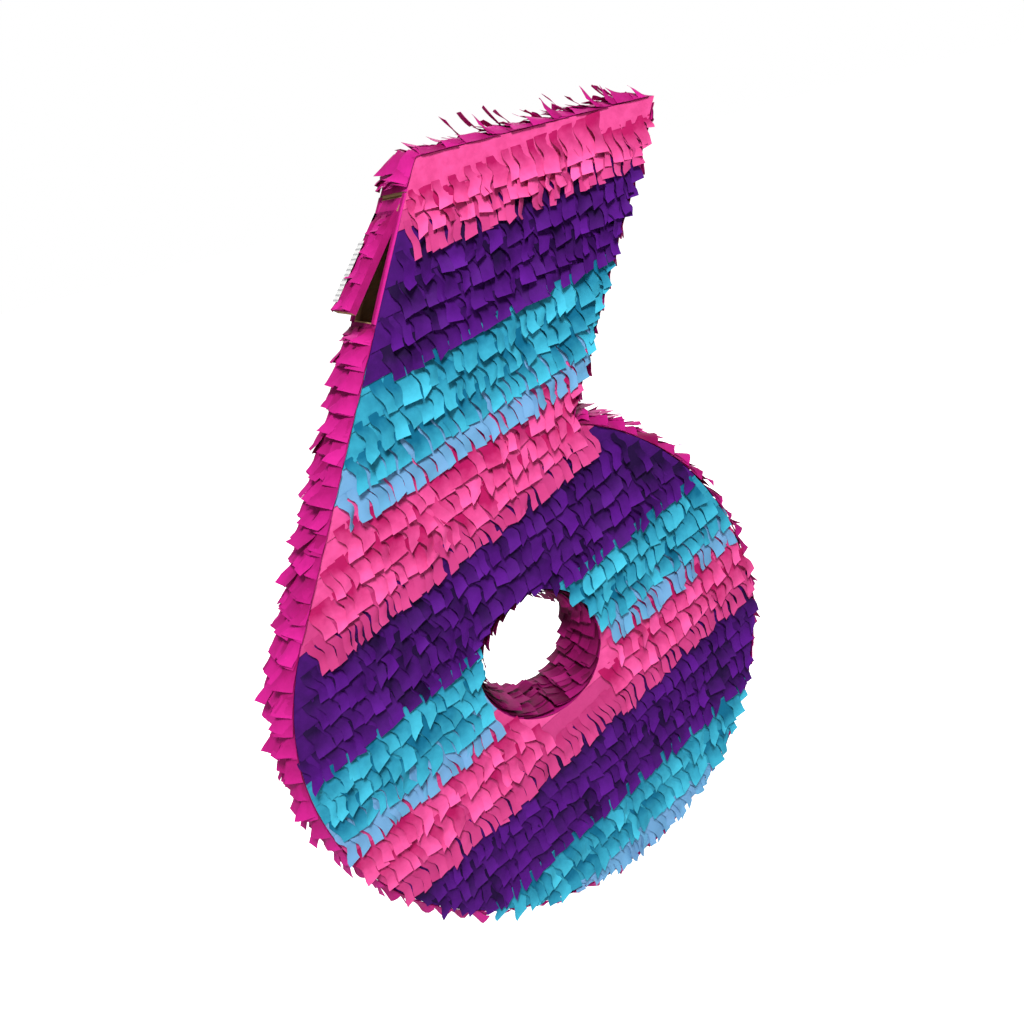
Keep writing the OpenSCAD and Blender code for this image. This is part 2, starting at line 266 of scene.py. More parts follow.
# Neighbours share a mood, a slow noise along a row that differs from row to row.
MOOD_STRENGTH = 2.2
MOOD_GRAIN = 28 * MM
ROWS_APART = 7.3
MOOD_SLICE = 4.1


def mood(line, at, grain=MOOD_GRAIN):
    """A slow value from about -1 to 1 along a row: tabs cut side by side curl alike."""
    return MOOD_STRENGTH * noise.noise(Vector((at / grain, line * ROWS_APART, MOOD_SLICE)))


def drawn(amounts, feel, dice):
    """A value of one tab, drawn from three numbers."""
    usual, shared, own = amounts
    return usual + shared * feel + dice.gauss(0, own)


print("a tab has", TAB_COLUMNS * TAB_ROWS, "faces before it gets its thickness")


# %% Bend a grid into a tab
def add_tab(sheet, place, width, length, rise, look, feel, dice, curl=1.0):
    """Adds one tab. place(across, along, height) turns the tab's own measures into a point, and
    rise(along) is its height before its own bends, which curl makes weaker or stronger."""
    tone, thin = look
    made = bmesh.ops.create_grid(sheet, x_segments=TAB_COLUMNS, y_segments=TAB_ROWS, size=0.5)
    wave = curl * WAVE * (1 + 0.4 * feel) * dice.uniform(*WAVE_SPREAD)
    wave_start = drawn(WAVE_START, feel, dice)
    buckle = curl * BUCKLE * dice.uniform(*BUCKLE_SPREAD)
    buckle_start = drawn(BUCKLE_START, feel, dice)
    twist = curl * drawn(TWIST, feel, dice)
    cup = dice.gauss(0, CUP)
    lift = curl * max(drawn(LIFT, feel, dice), LEAST_LIFT)
    stray = math.tan(drawn(STRAY, feel, dice))
    slant = curl * dice.gauss(0, SLANT)
    for vert in made["verts"]:
        side = vert.co.x * 2
        reach = vert.co.y + 0.5
        along = reach * length + slant * side * reach
        turn = twist * min(2.2 * reach, 1) + curl * ROCK * math.sin(5 * reach + buckle_start)
        half = width / 2 * (1 - WAIST * math.sin(3 * reach + wave_start))
        across = side * half * math.cos(turn) + along * stray
        across += wave * min(3 * reach, 1) * math.sin(7 * reach + wave_start)
        height = rise(along) + side * half * math.sin(turn) + cup * side * side * reach
        height += buckle * reach * math.sin(7.5 * reach + buckle_start)
        height += lift * max(reach - LIFT_FROM, 0) ** 2 / 0.2
        vert.co = place(across, along, height)
        # The tone ramps along the tab: painted shade at the root, a painted highlight at the tip.
        vert[sheet.verts.layers.float["tab_tone_and_painted_light"]] = tone + PAINTED_TIP_LIGHT * (reach - TIP_MIDDLE)
        vert[sheet.verts.layers.float["thin_layer"]] = thin


# %% Start and finish a fringe piece
PAPER_T = 0.16 * MM
SHARP_EDGE = math.radians(50)


def new_sheet():
    """An empty mesh in the making, with the two attributes that the tissue reads."""
    sheet = bmesh.new()
    sheet.verts.layers.float.new("tab_tone_and_painted_light")
    sheet.verts.layers.float.new("thin_layer")
    return sheet


def finish_piece(sheet, name, material, body, replaced):
    """Gives the paper its thickness and makes it a piece of the figure."""
    geometry = sheet.verts[:] + sheet.edges[:] + sheet.faces[:]
    bmesh.ops.solidify(sheet, geom=geometry, thickness=PAPER_T)
    mesh = bpy.data.meshes.new(name)
    sheet.to_mesh(mesh)
    sheet.free()
    mesh.shade_smooth()
    mesh.set_sharp_from_angle(angle=SHARP_EDGE)
    mesh.materials.append(material)
    piece = bpy.data.objects.new(name, mesh)
    bpy.context.scene.collection.objects.link(piece)
    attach(piece, body)
    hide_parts(*replaced)
    return piece


# %% [markdown]
# ## Rows on the two faces
# The figure is papered from the foot upwards, so each row hangs over the one below it. A row is a
# strip with an uncut edge, glued flat, and a fringe. The colour changes every three or four rows,
# and the rows fan out down the stem until they slope with the figure. Copies of one straight row
# could not follow the round outline, so each tab is placed by itself and stops near the edge.

# %% Colour bands
# Each band's part of the height, and the slope in degrees of the line above it. The last slope is
# that of the line under the lowest band.
BAND_NAMES = ("pink_top", "purple_top", "turquoise_top", "pink_mid", "purple_mid",
              "turquoise_mid", "pink_low", "purple_low", "turquoise_low")
BAND_PARTS = (55, 60, 68, 60, 69, 65, 57, 64, 50)
BAND_SLOPES = (0, 5, 10, 12, 17, 16, 16, 18, 17, 17)
figure_h = top_z - (bowl_z - bowl_r)


def band_line(i):
    """Height on the bowl's axis and slope of the line above band i."""
    slope = math.radians(BAND_SLOPES[i])
    if i == len(BAND_PARTS):
        return bowl_z - bowl_r / math.cos(slope), slope
    return top_z - figure_h * sum(BAND_PARTS[:i]) / sum(BAND_PARTS), slope


print("lines between the bands:", [round(band_line(i)[0], 3) for i in range(len(BAND_SLOPES))])

# %% Rows of a band
ROW_STEP = 17 * MM
TOP_BAND_TIPS = (0.60, 0.81, 1.0)
THIN_PLY = {"pink": 0.75, "purple": 0.0, "turquoise": 0.9}
# Where a strip's cuts start below its upper edge, and how much higher they start further right.
ROW_CUT = (15 * MM, 0)
TOP_ROW_CUT = (22 * MM, 0.08)


def band_rows(i):
    """The rows of band i from the top: tip height on the axis, slope, share of thin layer, cut."""
    (z_top, slope_top), (z_foot, slope_foot) = band_line(i), band_line(i + 1)
    count = round((z_top - z_foot) / ROW_STEP)
    tips = TOP_BAND_TIPS if i == 0 else [(k + 1) / count for k in range(count)]
    last_ply = THIN_PLY[BAND_NAMES[i].split("_")[0]]
    rows = []
    for tip in tips:
        z_tip = z_top + (z_foot - z_top) * tip
        slope = slope_top + (slope_foot - slope_top) * tip
        thin = last_ply if tip == 1.0 else 0.0
        rows.append((z_tip, slope, thin, TOP_ROW_CUT if i == 0 and tip == tips[0] else ROW_CUT))
    return rows


print("rows down the face:", [len(band_rows(i)) for i in range(len(BAND_PARTS))])


# %% Cut strips from a panel
def face_outline(side):
    """The outer face of a board panel as one flat mesh, to cut strips from."""
    node = frame["nodes"]["front_panel" if side < 0 else "back_panel"]
    outline = bmesh.new()
    outline.from_mesh(node.data)
    bmesh.ops.remove_doubles(outline, verts=outline.verts[:], dist=0.01 * MM)
    inner = [f for f in outline.faces if abs(f.calc_center_median().y) < shell_half - 0.1 * MM]
    bmesh.ops.delete(outline, geom=inner, context="FACES")
    return outline


def cut_plane(mesh, point, direction, clear=False):
    """Cuts mesh by a plane, and with clear also removes what lies beyond it in direction."""
    geometry = mesh.verts[:] + mesh.edges[:] + mesh.faces[:]
    bmesh.ops.bisect_plane(mesh, geom=geometry, plane_co=point, plane_no=direction,
                           clear_outer=clear)


# %% The glued, uncut strip of a row
# Creases lie a step apart, so many on each side of the strip's root.
CREASE_STEP = 5.5 * MM
CREASES_ALONG = 45
CREASES_DOWN = 5
GLUE_GAP = 0.5 * MM
STRIP_SLOPE = 0.05
# Height and number of crumples for each metre, coarse and fine.
CRUMPLES = ((0.9 * MM, 70), (0.5 * MM, 160))


def add_glued_strip(sheet, outline, side, root, row_way, down, uncut, look):
    """Adds the flat part of a strip, cut to the figure's outline and a little crumpled."""
    strip = outline.copy()
    cut_plane(strip, root, -down, clear=True)
    cut_plane(strip, root + uncut * down, down, clear=True)
    for way, count in ((row_way, CREASES_ALONG), (down, CREASES_DOWN)):
        for k in range(-count, count + 1):
            cut_plane(strip, root + k * CREASE_STEP * way, way)
    for vert in strip.verts:
        drop = (vert.co - root).dot(down)
        crumple = abs(sum(amount * noise.noise(vert.co * scale) for amount, scale in CRUMPLES))
        vert.co.y = side * (shell_half + GLUE_GAP + STRIP_SLOPE * drop + crumple)
    tone_layer = strip.verts.layers.float.new("tab_tone_and_painted_light")
    thin_layer = strip.verts.layers.float.new("thin_layer")
    for vert in strip.verts:
        vert[tone_layer], vert[thin_layer] = look
    scratch = bpy.data.meshes.new("scratch")
    strip.to_mesh(scratch)
    strip.free()
    sheet.from_mesh(scratch)
    bpy.data.meshes.remove(scratch)


# %% How far a tab hangs on a face
STRIP_W = 37 * MM
HALF_ROW = 0.26
TAB_W = 8.6 * MM
THIN_TAB_W = 6.6 * MM
UNCUT_UNDER_TABS = 4 * MM
EDGE_OVERHANG = 3 * MM
SHORTEST_TAB = 6 * MM
TAB_GAP = 1.7 * MM
TAB_CLIMB = 0.15
HANG_STEP = 2 * MM
# How far the tips of a colour's tabs stray, and how far down it has a second layer behind them.
# The lowest band has nothing but board below it, so its second layer goes all the way.
NEATNESS = {"pink": (0.9 * MM, 0), "purple": (0.3 * MM, 32 * MM), "turquoise": (0.9 * MM, 0)}
LAST_NEATNESS = (0.9 * MM, STRIP_W)


def face_rise(along):
    """Height of a tab over the board: it climbs over the row below."""
    return TAB_GAP + TAB_CLIMB * along


def free_length(start, down, wanted, grow):
    """How far a tab can hang before it passes the outline by more than grow."""
    length = 0.0
    while length < wanted and on_face(start + (length + HANG_STEP) * down, grow):
        length += HANG_STEP
    return min(length, wanted)


near_foot = bowl_centre - Vector((0, 0, bowl_r - 20 * MM))
foot_length = free_length(near_foot, Vector((0, 0, -1)), STRIP_W, 0)
print(f"a tab that starts 20 mm above the foot can hang {foot_length:.3f} m")


# %% One row on a face
STRIP_TONES = (0.1, 0.3)
TAB_TONE = (0.22, 0.10, 0.14)
PLY_SPREAD = 0.12
TAB_W_SPREAD = (0.65, 1.45)
TAB_OVERLAP = 1.03
CUT_STRAY = 0.5 * MM
OWN_RAGGED = 0.8
# A row's number for the moods of its tabs is its height in centimetres, and its tips have another.
ROWS_PER_M = 100
TIP_ROWS_ON = 5


def add_face_row(sheet, outline, side, row, neatness, dice):
    """Adds a strip and its tabs to a face: side is -1 on the front and 1 on the back."""
    z_tip, slope, thin, (cut_start, cut_climb) = row
    ragged, backing = neatness
    row_way = Vector((math.cos(slope), 0, math.sin(slope)))
    down = Vector((math.sin(slope), 0, -math.cos(slope)))
    across_way = down.cross(Vector((0, side, 0)))
    root = Vector((0, 0, z_tip)) - STRIP_W * down
    uncut = max(cut_start + UNCUT_UNDER_TABS, backing)
    strip_tone = dice.uniform(*STRIP_TONES)
    add_glued_strip(sheet, outline, side, root, row_way, down, uncut, (strip_tone, thin))
    line = z_tip * ROWS_PER_M
    at = -HALF_ROW
    while at < HALF_ROW:
        width = (THIN_TAB_W if thin else TAB_W) * dice.uniform(*TAB_W_SPREAD)
        at += width / 2
        feel = mood(line, at)
        cut = cut_start - cut_climb * max(at, 0)
        start = root + (cut + dice.gauss(0, CUT_STRAY)) * down + at * row_way
        stray = ragged * (mood(line + TIP_ROWS_ON, at) + dice.gauss(0, OWN_RAGGED))
        length = free_length(start, down, STRIP_W - cut + stray, dice.uniform(0, EDGE_OVERHANG))
        tone = drawn(TAB_TONE, feel, dice)
        ply = min(1, max(0, thin + dice.gauss(0, PLY_SPREAD))) if thin else 0

        def place(across, along, height):
            spot = start + along * down + across * across_way
            return Vector((spot.x, side * (shell_half + height), spot.z))

        if on_face(start, -1 * MM) and length > SHORTEST_TAB:
            add_tab(sheet, place, width * TAB_OVERLAP, length, face_rise, (tone, ply), feel, dice)
        at += width / 2


# %% Paper both faces
BAND_TISSUE = {"pink": PINK, "purple": PURPLE, "turquoise": TURQUOISE}


def paper_face(side, face_name):
    """Papers one face, a piece for each colour band."""
    outline = face_outline(side)
    for i, band in enumerate(BAND_NAMES):
        dice = random.Random(f"{face_name} {band}")
        colour = band.split("_")[0]
        sheet = new_sheet()
        neatness = NEATNESS[colour] if i < len(BAND_NAMES) - 1 else LAST_NEATNESS
        for row in band_rows(i):
            add_face_row(sheet, outline, side, row, neatness, dice)
        nodes = [n for n in frame["nodes"] if n.startswith(f"{face_name}_{band}")]
        piece = finish_piece(sheet, f"{face_name}_{band}_fringe", BAND_TISSUE[colour], "shell",
                             nodes)
        print(piece.name, "replaces", nodes, len(piece.data.polygons), "faces")
    outline.free()


paper_face(-1, "front")
paper_face(1, "back")

# %% [markdown]
# ## Rows on the walls
# The narrow walls carry one colour. Their strips are short and lie across the wall, in two plies,
# and the tabs point down each side. The rows could be made flat and wrapped round the wall with a
# curve modifier, but that stretches tabs at the corners. Instead a run says where a wall is: its
# point, its way down and its way out at any distance, straight on the stem and round on the bowl,
# so one function papers every wall.


# %% Runs along the walls
def straight_run(start, end, out):
    """A flat wall from start to end, as a run and its length."""
    way = (end - start).normalized()
    return (lambda s: (start + s * way, way, out)), (end - start).length


def round_run(centre, radius, start_angle, end_angle, facing=1):
    """A round wall between two angles. facing is 1 on the outside and -1 in the hole."""
    turn = 1 if end_angle > start_angle else -1

    def at(s):
        angle = start_angle + turn * s / radius
        radial = Vector((math.cos(angle), 0, math.sin(angle)))
        way = turn * Vector((-math.sin(angle), 0, math.cos(angle)))
        return centre + radius * radial, way, facing * radial

    return at, radius * abs(end_angle - start_angle)


def round_corner(first, length, second):
    """A run that carries on past a corner, where the paper folds down onto the next wall."""
    return lambda s: first(s) if s < length else second(s - length)


# %% How a wall is papered
# stand is how far the tabs stand out at their ends, sag and spill how they hang at the wall's two
# long edges, and tufts the share of tabs that stick up.
WallStyle = namedtuple("WallStyle", "stand step tab_w curl tone sag spill tufts")
OUTER_WALL = WallStyle(stand=5 * MM, step=15.5 * MM, tab_w=12.5 * MM, curl=0.6, tone=0.3,
                       sag=0.7, spill=0.35, tufts=0)
LOWER_STEM = OUTER_WALL._replace(stand=6 * MM)
BOWL = OUTER_WALL._replace(stand=7 * MM)
TOP = OUTER_WALL._replace(stand=3.5 * MM, tufts=0.22)
# In the hole the tabs' tone is low, more painted shade.
HOLE = OUTER_WALL._replace(stand=6 * MM, step=14 * MM, tab_w=10 * MM, curl=0.25, tone=0.05, sag=0.15)
DOOR = OUTER_WALL._replace(stand=1.6 * MM, spill=0.08)
print("tabs stand out", [style.stand for style in (OUTER_WALL, LOWER_STEM, BOWL, TOP, HOLE, DOOR)])

# %% The glued strip on a wall
WALL_UNCUT = 24 * MM
WALL_CRUMPLES = 90
STRIP_LOOSE = 0.7 * MM
STRIP_CLIMB = 0.03
STRIP_GAP = 0.15 * MM
# The folded long edges of a wall strip are painted lighter: a painted highlight along the fold.
FOLD_HIGHLIGHT = 1.0
# A grid reaches from -0.5 to 0.5, so only its outermost points lie past this.
GRID_EDGE = 0.49


def add_wall_strip(sheet, run, root, uncut, low_y, high_y, tone, loose=STRIP_LOOSE):
    """Adds the glued part of a strip to a wall. Its two long edges are folded down, and unless it
    is glued tight, with nothing loose, it climbs over the strip below."""
    climb = STRIP_CLIMB if loose else 0
    made = bmesh.ops.create_grid(sheet, x_segments=10, y_segments=4, size=0.5)
    for vert in made["verts"]:
        along = (vert.co.y + 0.5) * uncut
        point, way, out = run(root + along)
        share = vert.co.x * way.cross(out).y + 0.5
        depth = low_y + (high_y - low_y) * share
        crumple = abs(noise.noise(Vector((depth, root + along, 0)) * WALL_CRUMPLES))
        height = loose * (1 + crumple) + climb * min(along, WALL_UNCUT) + STRIP_GAP
        folded = abs(vert.co.x) > GRID_EDGE
        vert.co = Vector((point.x, depth, point.z)) + (0 if folded else height) * out
        # Folded edges get the painted highlight, the rest the strip's tone.
        vert[sheet.verts.layers.float["tab_tone_and_painted_light"]] = FOLD_HIGHLIGHT if folded else tone


# %% The long edges of a wall
SHOULDER = 7 * MM
SHOULDER_GAP = 0.4 * MM
SHOULDER_LEAST = 0.1


def over_shoulder(depth, height, half_depth, style):
    """Lets the tabs along a wall's two long edges sag towards it and spill a little past them."""
    past = abs(depth) - (half_depth - SHOULDER)
    if past <= 0:
        return depth, height
    if past > SHOULDER:
        depth = math.copysign(half_depth + style.spill * (past - SHOULDER), depth)
    left = max(1 - style.sag * (past / SHOULDER) ** 1.5, SHOULDER_LEAST)
    return depth, SHOULDER_GAP + (height - SHOULDER_GAP) * left


# %% One row on a wall
WALL_GRAIN = 18 * MM
ROW_END_GAP = 1.5 * MM
WALL_TAB_GAP = 1.5 * MM
PLY_GAP = 0.5 * MM
WALL_STAND = (1, 0.3, 0.25)
WALL_TONE = (0, 0.12, 0.18)
WALL_TAB_W_SPREAD = (0.6, 1.35)
WALL_TAB_OVERLAP = 1.1
WALL_CUT_STRAY = 0.8 * MM
WALL_TIP_STRAY = 2.2 * MM
TUFT_L = 14 * MM
TUFT_CURL = 0.9
TUFT_STAND = (0.6, 1.1)
TUFT_NARROW = 0.45


def add_wall_row(sheet, run, half_depth, style, line, cut, tips, tufts, dice):
    """Adds a row of tabs across a wall, from the cut to the tips. Odd lines are upper plies."""
    at = -half_depth - dice.uniform(0, 0.5) * style.tab_w
    while at < half_depth - ROW_END_GAP:
        width = style.tab_w * dice.uniform(*WALL_TAB_W_SPREAD)
        at += width / 2
        feel = mood(line, at, WALL_GRAIN)
        start = cut + dice.gauss(0, WALL_CUT_STRAY)
        length = max(tips - start - abs(dice.gauss(0, WALL_TIP_STRAY)), SHORTEST_TAB)
        stand = style.stand * drawn(WALL_STAND, feel, dice)
        curl, broad = style.curl, width * WALL_TAB_OVERLAP
        if dice.random() < tufts:
            length, stand = TUFT_L, TUFT_L * dice.uniform(*TUFT_STAND)
            curl, broad = TUFT_CURL, width * TUFT_NARROW
        look = (style.tone + drawn(WALL_TONE, feel, dice), 0)

        def place(across, along, height):
            point, way, out = run(start + along)
            depth, height = over_shoulder(at + across, height, half_depth, style)
            return point + depth * way.cross(out) + height * out

        def rise(along):
            return WALL_TAB_GAP + PLY_GAP * (line % 2) + stand * max(along / length, 0) ** 1.2

        if abs(at) < half_depth + 1 * MM:
            add_tab(sheet, place, broad, length, rise, look, feel, dice, curl)
        at += width / 2


# %% Paper a wall
WALL_STRIP_W = 42 * MM
WALL_CUT_START = 16 * MM
EDGE_CUT = 4 * MM
WALL_STRIP_TONES = (-0.1, 0.1)


def paper_wall(sheet, run, length, half_depth, style, dice, on_from=False, overhang=0.0):
    """Papers a wall. With on_from its rows carry on from the wall above, and without it the first
    row starts at the wall's edge. The last row's tabs hang over by overhang, and none stick up."""
    count = max(1, round(length / style.step))
    pitch = length / count
    for k in range(count):
        last = k == count - 1
        root = (k + 1) * pitch - WALL_STRIP_W
        tips = (k + 1) * pitch + (overhang if last else 0)
        cut = root + WALL_CUT_START
        if not on_from and root < 0:
            root = 0
            cut = max(cut, EDGE_CUT)
        uncut = length - root if last else WALL_UNCUT
        add_wall_strip(sheet, run, root, uncut, -half_depth, half_depth,
                       style.tone + dice.uniform(*WALL_STRIP_TONES))
        for line in (2 * k, 2 * k + 1):
            add_wall_row(sheet, run, half_depth, style, line, cut, tips,
                         0 if last else style.tufts, dice)


# %% Where the walls run
left_out = -into_stem
leave_angle = math.pi - STEM_LEAN
notch_angle = math.acos((stem_w - bowl_r) / bowl_r) - STEM_LEAN
stem_notch = bowl_centre + bowl_r * Vector((math.cos(notch_angle), 0, math.sin(notch_angle)))


def spread(node, origin, way):
    """How far the corners of a solid lie from origin along a way: nearest and furthest."""
    along = [(v.co - origin).dot(way) for v in frame["nodes"][node].data.vertices]
    return min(along), max(along)


upper_end = spread("stem_left_upper_fringe", stem_top_left, -up_stem)[1]
lower_start = spread("stem_left_lower_fringe", stem_top_left, -up_stem)[0]
print(f"door gap in the fringe from {upper_end:.4f} to {lower_start:.4f} m down the stem")

# %% The outer walls
TOP_OVERHANG = 13 * MM
HINGE_CLEARANCE = 0.6 * MM
upper_tips = upper_end - HINGE_CLEARANCE
upper_run = straight_run(stem_top_left, stem_top_left - upper_tips * up_stem, left_out)
top_run, top_length = straight_run(stem_top_right, stem_top_left, Vector((0, 0, 1)))
# A wall's name, the solids that its paper replaces, its run and length, its style, and whether its
# rows carry on from the wall above.
WALLS = (
    ("top", ("top_left_fringe", "top_right_fringe"),
     (round_corner(top_run, top_length, upper_run[0]), top_length + TOP_OVERHANG), TOP, False),
    ("stem_left_upper", ("stem_left_upper_fringe",), upper_run, OUTER_WALL, False),
    ("stem_left_lower", ("stem_left_lower_fringe",),
     straight_run(stem_top_left - lower_start * up_stem, stem_foot, left_out), LOWER_STEM, False),
    ("bowl_left", ("bowl_left_fringe",),
     round_run(bowl_centre, bowl_r, leave_angle, 1.5 * math.pi), BOWL, True),
    ("stem_right", ("stem_right_fringe",),
     straight_run(stem_top_right, stem_notch, into_stem), OUTER_WALL, False),
    ("bowl_right", ("bowl_right_fringe",),
     round_run(bowl_centre, bowl_r, notch_angle, -0.5 * math.pi), BOWL, False),
)
print("length of each wall:", [round(wall[2][1], 3) for wall in WALLS])

# %% Paper beside the door, and room for the cord
PAPER_PAST = 0.8 * MM
# The margins beside the door are darker than the wall: painted shade of the doorway.
MARGIN_SHADE_TONE = 0.1
CORD_CLEARANCE = 6 * MM
wall_half = shell_half + PAPER_PAST
door_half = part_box("door_flap")[1].y
hang_holes = [Vector(m["pos_m"]) for m in frame["record"]["mounts"]]


def paper_beside_door(sheet, run):
    """Papers the two narrow margins of the wall, in front of the door and behind it, in a darker
    tone that is painted shade beside the open door.
    """
    for side in (-1, 1):
        edges = sorted((side * wall_half, side * (door_half + PAPER_PAST)))
        add_wall_strip(sheet, run, upper_end, lower_start - upper_end, *edges, MARGIN_SHADE_TONE)


def clear_cord_holes(sheet):
    """Takes away the paper over the two holes that a cord goes through."""
    near = [f for f in sheet.faces for mount in hang_holes
            if (f.calc_center_median() - mount).xy.length < CORD_CLEARANCE]
    bmesh.ops.delete(sheet, geom=list(set(near)), context="FACES")
    print("faces taken away over the cord holes:", len(near))


# %% Paper the outer walls
for name, nodes, (run, length), style, on_from in WALLS:
    sheet = new_sheet()
    paper_wall(sheet, run, length, wall_half, style, random.Random(name), on_from)
    if name == "stem_left_upper":
        paper_beside_door(sheet, run)
    if name == "top":
        clear_cord_holes(sheet)
    piece = finish_piece(sheet, f"{name}_wall_fringe", MAGENTA, "shell", nodes)
    print(piece.name, f"{length:.3f} m of wall,", len(piece.data.polygons), "faces")

# %% Paper the inside of the hole
sheet = new_sheet()
dice = random.Random("hole")
for end_angle in (-0.5 * math.pi, 1.5 * math.pi):
    run, length = round_run(hole_centre, hole_r, 0.5 * math.pi, end_angle, facing=-1)
    paper_wall(sheet, run, length, wall_half, HOLE, dice)
# The hole is papered in the darker magenta, painted shade inside the hole.
piece = finish_piece(sheet, "hole_wall_fringe", HOLE_SHADE_MAGENTA, "shell", ["hole_fringe"])
print(piece.name, len(piece.data.polygons), "faces")

# %% [markdown]
# ## The filling door
# The door is cut from the left wall and folds on a crease along its top edge. Its paper has to
# swing with it, so it is a piece of its own that rides on the door's body. The paper could also be
# one sheet blended across the crease, but on the real object it is cut there, with the board.

# %% Where the door is
DOOR_BARE = 9 * MM
DOOR_SIDE_GAP = 0.8 * MM
door_spin = Matrix.Rotation(DOOR_AJAR, 3, "Y")
door_down = door_spin @ -up_stem
door_out = door_spin @ left_out
door_foot = spread("door_flap", hinge, door_down)[1]
door_face = hinge + board_t / 2 * door_out
door_run, door_length = straight_run(door_face + DOOR_BARE * door_down,
                                     door_face + door_foot * door_down, door_out)
print(f"the door reaches {door_foot:.4f} m from its crease")

# %% Paper the door
DOOR_OVERHANG = 1 * MM
DOOR_EDGE_PAPER = 4.5 * MM
DOOR_EDGE_GAP = 0.2 * MM
DOOR_OVERLAP = 2 * MM
DOOR_TOP_TONE = 0.2


def fold_over_door_edge(sheet, side):
    """Adds the paper that is folded over the door's front or back edge."""
    folded = bmesh.ops.create_grid(sheet, x_segments=1, y_segments=8, size=0.5)
    for vert in folded["verts"]:
        point, way, out = door_run((vert.co.y + 0.5) * door_length)
        height = (vert.co.x + 0.5) * DOOR_EDGE_PAPER - board_t
        vert.co = point + side * (door_half + DOOR_EDGE_GAP) * Vector((0, 1, 0)) + height * out


sheet = new_sheet()
paper_wall(sheet, door_run, door_length, door_half - DOOR_SIDE_GAP, DOOR, random.Random("door"),
           overhang=DOOR_OVERHANG)
add_wall_strip(sheet, door_run, -DOOR_BARE, DOOR_BARE + DOOR_OVERLAP, -door_half, door_half,
               DOOR_TOP_TONE, loose=0)
for side in (-1, 1):
    fold_over_door_edge(sheet, side)
piece = finish_piece(sheet, "door_paper_fringe", MAGENTA, "door", ["door_fringe"])
print(piece.name, len(piece.data.polygons), "faces")

# %% [markdown]
# ## Board, tape and label
# Board shows only at cut edges and through the open door. Its brown has long fibres and the faint
# lines of the flutes inside. An image could show both, but a noise and a wave texture have no seams
# and stay sharp at any size. The tape is a smoother kraft paper, the label white with grey lines.


# %% Board and tape materials
FIBRE_SCALE = 180
FIBRE_STRETCH = (1, 1, 6)
FLUTE_SCALE = 26
FLUTE_DEPTH = 0.3 * MM
FUZZ_BUMP = (0.2 * MM, 0.3)


def kraft(name, dark, light, flute_bump, roughness):
    """Brown paper with fibres, and the lines of flutes under it."""
    material, nodes, links, shader = new_material(name)
    fibres = object_noise(nodes, links, FIBRE_SCALE, 6, FIBRE_STRETCH)
    colour = mixed(nodes, links, fibres.outputs["Fac"], dark, light)
    links.new(colour, shader.inputs["Base Color"])
    shader.inputs["Roughness"].default_value = roughness
    shader.inputs["Specular IOR Level"].default_value = 0.25
    flutes = nodes.new("ShaderNodeTexWave")
    flutes.inputs["Scale"].default_value = FLUTE_SCALE
    place = nodes.new("ShaderNodeTexCoord")
    links.new(place.outputs["Object"], flutes.inputs["Vector"])
    ridge = add_bump(nodes, links, flutes.outputs["Fac"], FLUTE_DEPTH, flute_bump)
    fuzz = add_bump(nodes, links, fibres.outputs["Fac"], *FUZZ_BUMP, ridge)
    links.new(fuzz.outputs["Normal"], shader.inputs["Normal"])
    return material


BOARD = kraft("corrugated_board", (0.30, 0.17, 0.075), (0.48, 0.30, 0.15), 0.5, 0.85)
TAPE = kraft("paper_tape", (0.50, 0.34, 0.17), (0.62, 0.45, 0.25), 0.0, 0.55)
print("kraft materials:", BOARD.name, TAPE.name)

# %% Label material
LINE_SCALE = 120
LINE_FROM = 0.72


def ruled(name, paper, line):
    """White label paper with plain grey lines across it."""
    material, nodes, links, shader = new_material(name)
    bands = nodes.new("ShaderNodeTexWave")
    bands.bands_direction = "Z"
    bands.inputs["Scale"].default_value = LINE_SCALE
    bands.inputs["Distortion"].default_value = 0.0
    place = nodes.new("ShaderNodeTexCoord")
    links.new(place.outputs["Object"], bands.inputs["Vector"])
    narrow = nodes.new("ShaderNodeMath")
    narrow.operation = "GREATER_THAN"
    narrow.inputs[1].default_value = LINE_FROM
    links.new(bands.outputs["Fac"], narrow.inputs[0])
    links.new(mixed(nodes, links, narrow.outputs[0], paper, line), shader.inputs["Base Color"])
    shader.inputs["Roughness"].default_value = 0.6
    return material


LABEL = ruled("label_paper", (0.80, 0.80, 0.79), (0.45, 0.45, 0.46))
print("label material:", LABEL.name)

# %% Dress the solids
FINISH = {"board": BOARD, "tape": TAPE, "label": LABEL}
slots = {s["node"]: s["material_slot"] for s in frame["record"]["subparts"]}
for name, solid in frame["nodes"].items():
    solid.data.materials.clear()
    solid.data.materials.append(FINISH.get(slots[name], MAGENTA))
print("solids dressed:", len(frame["nodes"]))

# %% [markdown]
# ## Floor, light and camera
# The figure hangs in a plain white room: a large pale floor well under it, and an even white
# surround. A sky texture would tint the paper. One small key light from the front and above leaves
# soft shadows under each row of tabs, and two broad fills keep the left wall and the back readable.

# %% Floor
FLOOR_Z = -0.35
FLOOR_SIZE = 30
floor_mesh = bmesh.new()
bmesh.ops.create_grid(floor_mesh, x_segments=1, y_segments=1, size=FLOOR_SIZE)
bmesh.ops.translate(floor_mesh, verts=floor_mesh.verts[:], vec=(0, 0, FLOOR_Z))
mesh = bpy.data.meshes.new("floor")
floor_mesh.to_mesh(mesh)
floor_mesh.free()
floor = bpy.data.objects.new("floor", mesh)
bpy.context.scene.collection.objects.link(floor)
material, nodes, links, shader = new_material("pale_floor")
shader.inputs["Base Color"].default_value = (0.9, 0.9, 0.9, 1)
shader.inputs["Roughness"].default_value = 0.9
shader.inputs["Emission Color"].default_value = (1, 1, 1, 1)
ray = nodes.new("ShaderNodeLightPath")
links.new(ray.outputs["Is Camera Ray"], shader.inputs["Emission Strength"])
mesh.materials.append(material)
